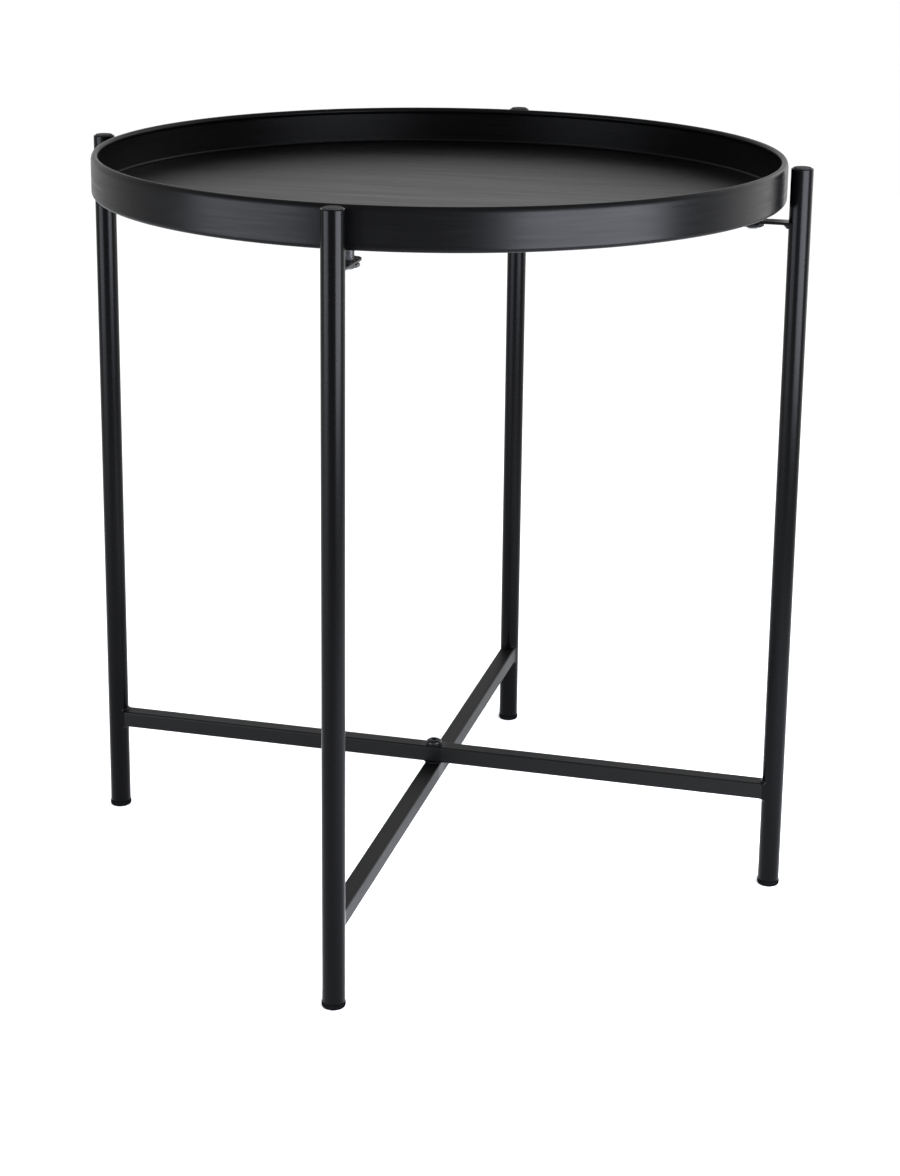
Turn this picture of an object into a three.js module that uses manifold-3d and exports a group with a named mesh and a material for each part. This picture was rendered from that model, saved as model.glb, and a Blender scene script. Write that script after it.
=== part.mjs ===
// Folding tray table: a loose round steel tray standing on two H-shaped steel frames that cross
// under it and turn about one pivot bolt, so that the four legs close up into a flat bundle.
// Units are millimetres. +Z is up, the floor is z = 0, and the pivot axis is the Z axis.
// Frame A (upper crossbar) lies along X, and frame B (lower crossbar) lies along Y.

import * as THREE from "three";
import { mergeVertices } from "three/addons/utils/BufferGeometryUtils.js";
import Module from "manifold-3d";

const wasm = await Module();
wasm.setup();

// ---------------------------------------------------------------- driving dimensions

const OVERALL_HEIGHT = 520; // floor to the tops of the leg plugs
const LEG_CIRCLE_DIAMETER = 500; // circle through the four leg axes

const TUBE_DIAMETER = 15; // round leg tube
const TUBE_WALL = 1.2;
const TUBE_EDGE_ROUND = 0.7; // rounded outer edge at the top of the tube

const BAR_WIDTH = 12; // square crossbar tube
const BAR_WALL = 1.2;
const BAR_CORNER = 1.4; // outer corner radius of the square tube
const LOWER_BAR_BOTTOM = 52.8; // height of the lower crossbar's underside

const SHEET = 1.2; // tray sheet thickness
const RIM_HEIGHT = 28;
const RIM_BEAD_RADIUS = 2.4; // rolled edge, turned inward
const TRAY_CORNER = 3; // outer radius between the floor and the wall
const TRAY_SIDE_GAP = 3; // between the tray wall and each leg

const TAB_WIDTH = 13;
const TAB_THICKNESS = 1.8;
const TAB_REACH = 44; // from the leg axis to the rounded tip
const STUD_DIAMETER = 8;
const STUD_FROM_LEG = 31.5; // stud axis to leg axis
const STUD_RISE = 8.7; // from the tab's top face to the stud's top face
const STUD_TAIL = 1.2; // below the nut
const STUD_CHAMFER = 0.8;
const STUD_NUT_FLATS = 13;
const STUD_NUT_HEIGHT = 2.6;

const PLUG_DEPTH = 11; // how far the top plug goes into the tube
const PLUG_PROUD = 0.8; // how far its disc stands above the tube
const PLUG_EDGE_ROUND = 0.45;
const GLIDE_FLANGE_HEIGHT = 3.6;
const GLIDE_OVERHANG = 0.35; // flange radius beyond the tube radius
const GLIDE_EDGE_ROUND = 1.3;
const GLIDE_DEPTH = 13;
const RIB_DEPTH = 0.5; // grooves between the ribs of the plugs and glides
const RIB_COUNT = 2;

const BOLT_DIAMETER = 5;
const BOLT_HEAD_DIAMETER = 11.4;
const BOLT_HEAD_HEIGHT = 2.75;
const BOLT_SOCKET_FLATS = 4;
const BOLT_SOCKET_DEPTH = 1.8;
const BOLT_TAIL = 1.2; // thread showing below the insert
const WASHER_DIAMETER = 12;
const WASHER_THICKNESS = 0.5;
const SPACER_DIAMETER = 14.6; // disc that keeps the two crossbars apart
const SPACER_THICKNESS = 0.8;
const INSERT_DIAMETER = 7; // threaded insert set in the lower crossbar's upper wall
const INSERT_HEIGHT = 8;

const CONTACT_GAP = 0.3; // between faces that touch
const BOLT_CLEARANCE = 0.3; // round the pivot bolt, on the radius
const STUD_CLEARANCE = 0.3; // round each stud, on the radius

const TRAY_SEGMENTS = 96;
const TUBE_SEGMENTS = 32;
const SMALL_SEGMENTS = 20;

// ---------------------------------------------------------------- sizes that follow

const LEG_CIRCLE_RADIUS = LEG_CIRCLE_DIAMETER / 2;
const TUBE_RADIUS = TUBE_DIAMETER / 2;
const TUBE_BORE_RADIUS = TUBE_RADIUS - TUBE_WALL;
const TUBE_BOTTOM = GLIDE_FLANGE_HEIGHT + CONTACT_GAP;
const TUBE_TOP = OVERALL_HEIGHT - PLUG_PROUD;

const LOWER_BAR_TOP = LOWER_BAR_BOTTOM + BAR_WIDTH;
const SPACER_BOTTOM = LOWER_BAR_TOP + CONTACT_GAP;
const UPPER_BAR_BOTTOM = SPACER_BOTTOM + SPACER_THICKNESS + CONTACT_GAP;
const UPPER_BAR_TOP = UPPER_BAR_BOTTOM + BAR_WIDTH;
const BOLT_HOLE_RADIUS = BOLT_DIAMETER / 2 + BOLT_CLEARANCE;
const INSERT_HOLE_RADIUS = INSERT_DIAMETER / 2 + CONTACT_GAP;
const INSERT_BOTTOM = LOWER_BAR_TOP - INSERT_HEIGHT;

const TRAY_RADIUS = LEG_CIRCLE_RADIUS - TUBE_RADIUS - TRAY_SIDE_GAP;
const TRAY_BOTTOM = OVERALL_HEIGHT - RIM_HEIGHT;
const STUD_TOP = TRAY_BOTTOM - CONTACT_GAP;
const TAB_TOP = STUD_TOP - STUD_RISE;
const TAB_BOTTOM = TAB_TOP - TAB_THICKNESS;
const STUD_NUT_TOP = TAB_BOTTOM - CONTACT_GAP;
const STUD_BOTTOM = STUD_NUT_TOP - STUD_NUT_HEIGHT - STUD_TAIL;
const STUD_RADIUS_FROM_PIVOT = LEG_CIRCLE_RADIUS - STUD_FROM_LEG;
const STUD_HOLE_RADIUS = STUD_DIAMETER / 2 + STUD_CLEARANCE;

// ---------------------------------------------------------------- materials

function finish(color, roughness, metalness) {
  return new THREE.MeshStandardMaterial({ color, roughness, metalness });
}

const blackSteel = finish(0x222325, 0.48, 0.35);
const blackPlastic = finish(0x2b2c2e, 0.55, 0);
const footPlastic = finish(0x141415, 0.6, 0);
const blackFastener = finish(0x18181a, 0.35, 0.7);
const zinc = finish(0x9a9c9e, 0.38, 0.9);

// ---------------------------------------------------------------- geometry helpers

const point = (x, y) => new THREE.Vector2(x, y);

// Points of an arc in the profile plane, from one angle to the other, in degrees.
function arc(x, y, radius, from, to, steps) {
  return Array.from({ length: steps + 1 }, (_, i) => {
    const angle = THREE.MathUtils.degToRad(from + ((to - from) * i) / steps);
    return point(x + radius * Math.cos(angle), y + radius * Math.sin(angle));
  });
}

// Turns a profile of (radius, height) points about the Z axis.
function turned(profile, segments) {
  return new THREE.LatheGeometry(profile, segments).rotateX(Math.PI / 2);
}

// A closed profile, for pieces with a hole through them.
function ringProfile(points) {
  return [...points, points[0].clone()];
}

function cylinder(radius, bottom, top, segments = SMALL_SEGMENTS) {
  const profile = [
    point(0, bottom),
    point(radius, bottom),
    point(radius, top),
    point(0, top),
  ];
  return turned(profile, segments);
}

// A flat outline in XY, extruded upward from a height.
function plate(shape, bottom, thickness, curveSegments = 8) {
  const options = { depth: thickness, bevelEnabled: false, curveSegments };
  return new THREE.ExtrudeGeometry(shape, options).translate(0, 0, bottom);
}

function hexagon(flats) {
  const corner = flats / Math.sqrt(3);
  return new THREE.Shape(arc(0, 0, corner, 0, 300, 5));
}

function solid(geometry) {
  const bare = geometry.clone();
  bare.deleteAttribute("normal");
  bare.deleteAttribute("uv");
  const merged = mergeVertices(bare, 1e-4);
  return new wasm.Manifold(
    new wasm.Mesh({
      numProp: 3,
      vertProperties: new Float32Array(merged.attributes.position.array),
      triVerts: new Uint32Array(merged.index.array),
    }),
  );
}

function geometryOf(made) {
  const mesh = made.getMesh();
  const geometry = new THREE.BufferGeometry();
  const positions = new THREE.BufferAttribute(mesh.vertProperties, 3);
  geometry.setAttribute("position", positions);
  geometry.setIndex(new THREE.BufferAttribute(mesh.triVerts, 1));
  geometry.computeVertexNormals();
  return geometry;
}

function cut(geometry, ...tools) {
  return geometryOf(
    tools.reduce((left, tool) => left.subtract(solid(tool)), solid(geometry)),
  );
}

function named(name, geometry, material) {
  const mesh = new THREE.Mesh(geometry, material);
  mesh.name = name;
  return mesh;
}

// The leg's own envelope, cut from whatever is welded against it.
function legCope(x) {
  const reach = OVERALL_HEIGHT + TUBE_DIAMETER;
  const envelope = cylinder(TUBE_RADIUS + CONTACT_GAP, 0, reach, TUBE_SEGMENTS);
  return envelope.translate(x, 0, 0);
}

// ---------------------------------------------------------------- tray

// One sheet: flat floor, rounded corner, upright wall and a bead rolled inward at the top.
function trayGeometry() {
  const wall = TRAY_RADIUS;
  const beadX = wall - RIM_BEAD_RADIUS;
  const beadZ = RIM_HEIGHT - RIM_BEAD_RADIUS;
  const innerCorner = TRAY_CORNER - SHEET;
  const wallAngle = THREE.MathUtils.radToDeg(
    Math.acos((RIM_BEAD_RADIUS - SHEET) / RIM_BEAD_RADIUS),
  );
  const cornerX = wall - TRAY_CORNER;
  const profile = [
    point(0, 0),
    ...arc(cornerX, TRAY_CORNER, TRAY_CORNER, -90, 0, 4),
    ...arc(beadX, beadZ, RIM_BEAD_RADIUS, 0, 360 - wallAngle, 9),
    ...arc(cornerX, TRAY_CORNER, innerCorner, 0, -90, 3),
    point(0, SHEET),
  ];
  return turned(profile, TRAY_SEGMENTS).translate(0, 0, TRAY_BOTTOM);
}

// ---------------------------------------------------------------- leg and what is fixed to it

function legGeometry() {
  const edge = TUBE_TOP - TUBE_EDGE_ROUND;
  const profile = ringProfile([
    point(TUBE_BORE_RADIUS, TUBE_BOTTOM),
    point(TUBE_RADIUS, TUBE_BOTTOM),
    ...arc(TUBE_RADIUS - TUBE_EDGE_ROUND, edge, TUBE_EDGE_ROUND, 0, 90, 3),
    point(TUBE_BORE_RADIUS, TUBE_TOP),
  ]);
  return turned(profile, TUBE_SEGMENTS);
}

// The ribbed stem of a push-in plug, as profile points from its closed end to its mouth.
function ribbedStem(radius, inner, outer) {
  const pitch = (outer - inner) / (2 * RIB_COUNT + 1);
  const points = [];
  for (let i = 0; i < RIB_COUNT; i++) {
    const start = inner + 2 * i * pitch;
    const groove = radius - RIB_DEPTH;
    points.push(point(radius, start), point(radius, start + pitch));
    points.push(point(groove, start + pitch), point(groove, start + 2 * pitch));
  }
  points.push(point(radius, outer - pitch));
  return points;
}

function topPlugGeometry() {
  const radius = TUBE_BORE_RADIUS - CONTACT_GAP;
  const inner = TUBE_TOP - PLUG_DEPTH;
  const edge = OVERALL_HEIGHT - PLUG_EDGE_ROUND;
  const profile = [
    point(0, inner),
    ...ribbedStem(radius, inner, TUBE_TOP),
    ...arc(radius - PLUG_EDGE_ROUND, edge, PLUG_EDGE_ROUND, 0, 90, 2),
    point(0, OVERALL_HEIGHT),
  ];
  return turned(profile, SMALL_SEGMENTS);
}

function footGlideGeometry() {
  const stem = TUBE_BORE_RADIUS - CONTACT_GAP;
  const flange = TUBE_RADIUS + GLIDE_OVERHANG;
  const top = GLIDE_FLANGE_HEIGHT;
  const ribs = ribbedStem(stem, 0, GLIDE_DEPTH)
    .map((p) => point(p.x, top + GLIDE_DEPTH - p.y))
    .reverse();
  const round = GLIDE_EDGE_ROUND;
  const profile = [
    point(0, 0),
    ...arc(flange - round, round, round, -90, 0, 3),
    point(flange, top),
    point(stem, top),
    ...ribs,
    point(0, top + GLIDE_DEPTH),
  ];
  return turned(profile, SMALL_SEGMENTS);
}

// Flat tab welded to the leg, pointing at the pivot, with a rounded tip and a hole for the stud.
function tabGeometry() {
  const half = TAB_WIDTH / 2;
  const tip = TAB_REACH - half;
  const outline = new THREE.Shape([
    point(0, half),
    ...arc(-tip, 0, half, 90, 270, 12),
    point(0, -half),
  ]);
  const hole = cylinder(STUD_HOLE_RADIUS, TAB_BOTTOM - TAB_THICKNESS, TAB_TOP + TAB_THICKNESS);
  return cut(
    plate(outline, TAB_BOTTOM, TAB_THICKNESS),
    legCope(0),
    hole.translate(-STUD_FROM_LEG, 0, 0),
  );
}

// Threaded stud that carries the tray, drawn at its outer thread diameter.
function studGeometry() {
  const radius = STUD_DIAMETER / 2;
  const profile = [
    point(0, STUD_BOTTOM),
    point(radius - STUD_CHAMFER, STUD_BOTTOM),
    point(radius, STUD_BOTTOM + STUD_CHAMFER),
    point(radius, STUD_TOP - STUD_CHAMFER),
    point(radius - STUD_CHAMFER, STUD_TOP),
    point(0, STUD_TOP),
  ];
  return turned(profile, SMALL_SEGMENTS);
}

function hexNutGeometry(flats, height, boreRadius, top) {
  const bore = cylinder(boreRadius, top - 2 * height, top + height);
  return cut(plate(hexagon(flats), top - height, height), bore);
}

// Everything that belongs to one leg, built on the +X side with the leg axis at the group's origin.
function legSet(side) {
  const group = new THREE.Group();
  const stud = named("tray_stud_" + side, studGeometry(), zinc);
  const nutGeometry = hexNutGeometry(
    STUD_NUT_FLATS,
    STUD_NUT_HEIGHT,
    STUD_HOLE_RADIUS,
    STUD_NUT_TOP,
  );
  const nut = named("stud_nut_" + side, nutGeometry, zinc);
  for (const piece of [stud, nut]) piece.position.x = -STUD_FROM_LEG;
  group.add(
    named("leg_" + side, legGeometry(), blackSteel),
    named("top_plug_" + side, topPlugGeometry(), blackPlastic),
    named("foot_glide_" + side, footGlideGeometry(), footPlastic),
    named("tray_tab_" + side, tabGeometry(), blackSteel),
    stud,
    nut,
  );
  group.position.x = LEG_CIRCLE_RADIUS;
  return group;
}

// ---------------------------------------------------------------- crossbars

function roundedSquare(ShapeType, width, corner) {
  const inset = width / 2 - corner;
  const corners = [
    arc(inset, inset, corner, 0, 90, 3),
    arc(-inset, inset, corner, 90, 180, 3),
    arc(-inset, -inset, corner, 180, 270, 3),
    arc(inset, -inset, corner, 270, 360, 3),
  ];
  return new ShapeType(corners.flat());
}

// Square tube from leg to leg along X, coped round both legs and drilled at its middle.
function crossbarGeometry(bottom, holeRadius, holeBottom) {
  const section = roundedSquare(THREE.Shape, BAR_WIDTH, BAR_CORNER);
  const bore = BAR_WIDTH - 2 * BAR_WALL;
  const boreCorner = Math.max(BAR_CORNER - BAR_WALL, BAR_CORNER / 4);
  section.holes.push(roundedSquare(THREE.Path, bore, boreCorner));
  const options = { depth: LEG_CIRCLE_DIAMETER, bevelEnabled: false };
  const bar = new THREE.ExtrudeGeometry(section, options)
    .translate(0, 0, -LEG_CIRCLE_RADIUS)
    .rotateY(Math.PI / 2)
    .translate(0, 0, bottom + BAR_WIDTH / 2);
  const hole = cylinder(holeRadius, holeBottom, bottom + 2 * BAR_WIDTH);
  return cut(bar, legCope(LEG_CIRCLE_RADIUS), legCope(-LEG_CIRCLE_RADIUS), hole);
}

// ---------------------------------------------------------------- pivot

function collarGeometry(diameter, bottom, thickness) {
  const profile = ringProfile([
    point(BOLT_HOLE_RADIUS, bottom),
    point(diameter / 2, bottom),
    point(diameter / 2, bottom + thickness),
    point(BOLT_HOLE_RADIUS, bottom + thickness),
  ]);
  return turned(profile, SMALL_SEGMENTS);
}

// Button-head bolt with a hexagon socket. Its shank is drawn at the outer thread diameter.
function boltGeometry(headBottom, shankBottom) {
  const shank = BOLT_DIAMETER / 2;
  const head = BOLT_HEAD_DIAMETER / 2;
  const flat = BOLT_SOCKET_FLATS / 2 + 1;
  const top = headBottom + BOLT_HEAD_HEIGHT;
  const lip = BOLT_HEAD_HEIGHT / 5;
  const dome = [0, 22.5, 45, 67.5, 90].map((degrees) => {
    const angle = THREE.MathUtils.degToRad(degrees);
    const rise = (BOLT_HEAD_HEIGHT - lip) * Math.sin(angle);
    return point(flat + (head - flat) * Math.cos(angle), headBottom + lip + rise);
  });
  const profile = [
    point(0, shankBottom),
    point(shank, shankBottom),
    point(shank, headBottom),
    point(head, headBottom),
    ...dome,
    point(0, top),
  ];
  const socket = plate(hexagon(BOLT_SOCKET_FLATS), top - BOLT_SOCKET_DEPTH, BOLT_HEAD_HEIGHT);
  return cut(turned(profile, SMALL_SEGMENTS), socket);
}

function pivotSet() {
  const topWasherBottom = UPPER_BAR_TOP + CONTACT_GAP;
  const headBottom = topWasherBottom + WASHER_THICKNESS + CONTACT_GAP;
  const bolt = boltGeometry(headBottom, INSERT_BOTTOM - BOLT_TAIL);
  const topWasher = collarGeometry(WASHER_DIAMETER, topWasherBottom, WASHER_THICKNESS);
  const spacer = collarGeometry(SPACER_DIAMETER, SPACER_BOTTOM, SPACER_THICKNESS);
  return [
    named("pivot_bolt", bolt, blackFastener),
    named("pivot_washer_top", topWasher, blackFastener),
    named("pivot_spacer", spacer, blackPlastic),
  ];
}

// ---------------------------------------------------------------- assembly

// An H frame along X: one crossbar with a leg set at each end.
function frame(barName, bar, nearSide, farSide) {
  const group = new THREE.Group();
  const far = new THREE.Group();
  far.add(legSet(farSide));
  far.rotation.z = Math.PI;
  group.add(
    named(barName, bar, blackSteel),
    legSet(nearSide),
    far,
  );
  return group;
}

const table = new THREE.Group();
const upperBar = crossbarGeometry(UPPER_BAR_BOTTOM, BOLT_HOLE_RADIUS, LOWER_BAR_BOTTOM);
const lowerBar = crossbarGeometry(LOWER_BAR_BOTTOM, INSERT_HOLE_RADIUS, INSERT_BOTTOM);
const frameA = frame("crossbar_upper", upperBar, "right", "left");
const frameB = frame("crossbar_lower", lowerBar, "back", "front");
const insert = collarGeometry(INSERT_DIAMETER, INSERT_BOTTOM, INSERT_HEIGHT);
frameB.add(named("pivot_insert", insert, zinc));
frameB.rotation.z = Math.PI / 2;
table.add(frameA, frameB, ...pivotSet());
table.add(named("tray", trayGeometry(), blackSteel));

export default table;
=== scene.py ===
"""Folding tray table: a loose round steel tray on two H-shaped frames that cross and turn on one bolt.

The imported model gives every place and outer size. Lengths are metres. +Z is up and the pivot is the Z axis.
"""

import math

import bmesh
import bpy
from mathutils import Matrix, Vector, noise


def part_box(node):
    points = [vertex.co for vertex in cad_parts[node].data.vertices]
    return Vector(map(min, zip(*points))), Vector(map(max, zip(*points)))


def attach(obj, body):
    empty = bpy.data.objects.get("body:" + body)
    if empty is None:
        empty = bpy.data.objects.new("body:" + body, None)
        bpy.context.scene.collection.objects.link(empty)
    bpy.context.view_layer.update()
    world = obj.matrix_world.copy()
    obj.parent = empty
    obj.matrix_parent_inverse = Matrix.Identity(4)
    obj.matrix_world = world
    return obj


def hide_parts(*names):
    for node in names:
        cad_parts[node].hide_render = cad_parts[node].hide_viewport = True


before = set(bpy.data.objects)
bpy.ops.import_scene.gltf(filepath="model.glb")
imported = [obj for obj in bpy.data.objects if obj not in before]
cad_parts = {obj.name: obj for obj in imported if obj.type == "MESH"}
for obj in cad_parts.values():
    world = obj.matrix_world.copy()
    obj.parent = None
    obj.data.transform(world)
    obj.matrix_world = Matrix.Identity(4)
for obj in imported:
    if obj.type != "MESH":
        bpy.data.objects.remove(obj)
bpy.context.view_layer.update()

bl_info = {
    "name": "Folding Tray Table",
    "version": (1, 0, 0),
    "blender": (4, 5, 0),
    "location": "View3D > Sidebar > Tray Table",
    "description": "Models a folding tray table round its packed frame, with its finishes and a studio",
    "category": "Add Mesh",
}

MM = 0.001
TURN = 2 * math.pi
SAME_PLACE = 1e-6  # points nearer than this are one point
CREASE = math.radians(38)  # sharper edges than this stay sharp in the shading

# Specular levels, all well under that of clear varnish.
COAT_GLOSS = 0.055
BAR_GLOSS = 0.09
FASTENER_GLOSS = 0.12
FLOOR_GLOSS = 0.1
PLUG_GLOSS = 0.2
FOOT_GLOSS = 0.004  # also that of the disc between the bars

TRAY_ROUGHNESS = 0.32
COAT_ROUGHNESS = 0.25
BAR_ROUGHNESS = 0.45
ZINC_ROUGHNESS = 0.32
FASTENER_ROUGHNESS = 0.22
PLUG_ROUGHNESS = 0.66
FOOT_ROUGHNESS = 0.7

BRUSH_ANGLE = -0.249  # of the lines over the tray's floor, in radians from the X axis
RUBBED_TO = 8.5 * MM  # radius round the pivot inside which the coat is rubbed smooth
UNRUBBED_FROM = 10.5 * MM
FOOT_SCUFFS = 1.6 * MM  # height up to which the glides are scuffed
NO_SCUFFS = -1.0

TRAY_SIDES = 192
TUBE_SIDES = 64
PLUG_SIDES = 64
ROD_SIDES = 32
WASHER_SIDES = 64
SPARE = 1 * MM  # how far a tool sticks out of the piece that it cuts
THIN_SPARE = 0.01 * MM
SNUG = 0.02 * MM  # gap between a coped end and the leg
THREAD_DEPTH = 0.6  # of the pitch
THREAD_RINGS = 8  # rings of points along each turn of a thread
CREST = 0.12  # share of half a turn that is flat at the top of a thread
FLANK = 0.76
RIPPLE_SCALE = 450  # ripples of a weld bead per metre
WRAP = 0.985  # share of the leg's radius past which a bead is no longer bent
NUT_FACE = 0.97  # share of a nut's flats that is left level
NUT_REACH = 1.02  # how far the tool for a nut's corners goes past them
NUT_SLOPE = math.radians(30)

# Distance from the leg, growth across the bar and growth up and down it.
BAR_WELD_SECTION = [
    (-0.5 * MM, -0.3 * MM, -0.3 * MM),
    (2.2 * MM, -0.3 * MM, -0.3 * MM),
    (2.5 * MM, 0.04 * MM, 0.04 * MM),
    (1.7 * MM, 0.14 * MM, 0.2 * MM),
    (1.05 * MM, 0.32 * MM, 0.5 * MM),
    (0.55 * MM, 0.6 * MM, 0.95 * MM),
    (0.2 * MM, 0.9 * MM, 1.5 * MM),
    (-0.1 * MM, 1.1 * MM, 1.95 * MM),
    (-0.5 * MM, 1.2 * MM, 2.1 * MM),
]

CAMERA_PLACE = (0.392, -1.507, 0.742)
CAMERA_ANGLES = (14.26, 13.84, 0.65)  # turn round the table, dip and roll, in degrees
CAMERA_SHIFT = -0.18
SENSOR_WIDTH = 36.0
LIGHT_AIM = (0, 0, 0.4)
FLOOR_HEIGHT = -0.2 * MM
FLOOR_SIZE = 60

# Body of the frame that each leg belongs to, and its quarter turns from the right-hand leg.
LEG_SIDES = {
    "right": ("frame_a", 0),
    "back": ("frame_b", 1),
    "left": ("frame_a", 2),
    "front": ("frame_b", 3),
}


# ---------------------------------------------------------------- settings


def length(name, description, default):
    """A setting in metres."""
    return bpy.props.FloatProperty(name=name, description=description, default=default, unit="LENGTH")


def power(name, description, default):
    """A setting in watts."""
    return bpy.props.FloatProperty(name=name, description=description, default=default, min=0, unit="POWER")


def tone(name, description, default):
    """A setting that is a colour."""
    return bpy.props.FloatVectorProperty(name=name, description=description, subtype="COLOR", default=default)


class TrayTableTray(bpy.types.PropertyGroup):
    """Sizes of the tray that its box does not give."""

    sheet: length("Sheet", "Thickness of the tray's sheet steel", 1.2 * MM)
    bead_radius: length("Bead radius", "Radius of the rolled top edge", 2.4 * MM)
    shoulder: length("Shoulder", "Height over which the wall rolls in to the top edge", 4.6 * MM)
    corner_radius: length("Corner radius", "Outside radius from floor to wall", 3.0 * MM)


class TrayTableFrames(bpy.types.PropertyGroup):
    """Sizes of the legs, crossbars, tabs and their welds."""

    tube_wall: length("Tube wall", "Wall of the round leg tube", 1.2 * MM)
    tube_round: length("Tube edge", "Rounding at the tube's top edge", 0.7 * MM)
    bar_wall: length("Bar wall", "Wall of the square crossbar tube", 1.2 * MM)
    bar_corner: length("Bar corner", "Outer corner radius of the crossbars", 1.4 * MM)
    tab_edge: length("Tab edge", "Rounding of the tabs' edges", 0.3 * MM)
    weld_ripple: length("Weld ripple", "Unevenness of the weld beads", 0.12 * MM)


class TrayTablePlugs(bpy.types.PropertyGroup):
    """Sizes of the plugs in the leg tops and the glides under the legs."""

    plug_round: length("Plug edge", "Rounding of the top plug's disc", 0.45 * MM)
    glide_round: length("Glide edge", "Rounding at the floor edge of the glide", 1.3 * MM)
    rib_depth: length("Rib depth", "Depth of the grooves between the ribs", 0.5 * MM)
    rib_count: bpy.props.IntProperty(
        name="Ribs", description="Grooves on each push-in stem", default=2, min=1
    )


class TrayTableFasteners(bpy.types.PropertyGroup):
    """Sizes of the studs, their nuts and the pivot's bolt, washer, spacer and insert."""

    stud_pitch: length("Stud pitch", "Thread pitch of the tray studs", 1.25 * MM)
    bolt_pitch: length("Bolt pitch", "Thread pitch of the pivot bolt", 0.8 * MM)
    bolt_diameter: length("Bolt", "Outer thread diameter of the pivot bolt", 5.0 * MM)
    socket_flats: length("Socket", "Width of the bolt's hexagon socket", 4.0 * MM)
    socket_depth: length("Socket depth", "Depth of the bolt's hexagon socket", 1.8 * MM)
    clearance: length("Clearance", "Gap on the radius round bolts and studs", 0.3 * MM)


class TrayTableFinishes(bpy.types.PropertyGroup):
    """Base colours of the finishes."""

    tray_colour: tone("Tray", "Black lacquer over the brushed tray", (0.0009, 0.0009, 0.001))
    frame_colour: tone("Legs", "Black powder coat of the legs", (0.0004, 0.0004, 0.0005))
    bar_colour: tone("Bars", "Black powder coat of the bars", (0.001, 0.001, 0.001))
    plug_colour: tone("Plugs", "Black plastic of the top plugs", (0.006, 0.006, 0.0062))
    foot_colour: tone("Glides", "Black plastic of the glides and the spacer", (0.002, 0.002, 0.0021))
    zinc_colour: tone("Zinc", "Zinc plating of the studs and the insert", (0.12, 0.122, 0.124))
    fastener_colour: tone("Fasteners", "Blackened steel of the pivot and the nuts", (0.003, 0.003, 0.0033))


class TrayTableStudio(bpy.types.PropertyGroup):
    """Light, floor and lens of the studio."""

    surround: bpy.props.FloatProperty(
        name="Surround", description="Brightness of the white surroundings", default=1.04, min=0
    )
    left_power: power("Left light", "Power of the large light on the left", 56.0)
    right_power: power("Right light", "Power of the light close on the right", 30.0)
    back_power: power("Back light", "Power of the panel behind on the right", 18.0)
    light_colour: tone("Light colour", "Slightly cool daylight", (0.86, 0.9, 1.0))
    floor_colour: tone("Floor", "Plain pale floor", (0.97, 0.97, 0.97))
    lens: bpy.props.FloatProperty(
        name="Lens", description="Focal length in millimetres, on 36 mm along the long side", default=69.1
    )


class TrayTableSettings(bpy.types.PropertyGroup):
    """All settings of the folding tray table."""

    tray: bpy.props.PointerProperty(type=TrayTableTray)
    frames: bpy.props.PointerProperty(type=TrayTableFrames)
    plugs: bpy.props.PointerProperty(type=TrayTablePlugs)
    fasteners: bpy.props.PointerProperty(type=TrayTableFasteners)
    finishes: bpy.props.PointerProperty(type=TrayTableFinishes)
    studio: bpy.props.PointerProperty(type=TrayTableStudio)


# ---------------------------------------------------------------- finishes


class Value:
    """A number that varies over a surface. Arithmetic on it adds Math nodes to its recipe."""

    def __init__(self, recipe, socket):
        self.recipe = recipe
        self.socket = socket

    def math(self, operation, *terms):
        return self.recipe.node("ShaderNodeMath", {"operation": operation}, dict(enumerate(terms)))

    def __add__(self, other):
        return self.math("ADD", self, other)

    def __radd__(self, other):
        return self.math("ADD", other, self)

    def __sub__(self, other):
        return self.math("SUBTRACT", self, other)

    def __rsub__(self, other):
        return self.math("SUBTRACT", other, self)

    def __mul__(self, other):
        return self.math("MULTIPLY", self, other)

    def __rmul__(self, other):
        return self.math("MULTIPLY", other, self)

    def step(self, low, high):
        """0 below low, 1 above high, and smooth between them."""
        settings = {"interpolation_type": "SMOOTHSTEP"}
        return self.recipe.node("ShaderNodeMapRange", settings, {0: self, 1: low, 2: high})


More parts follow.
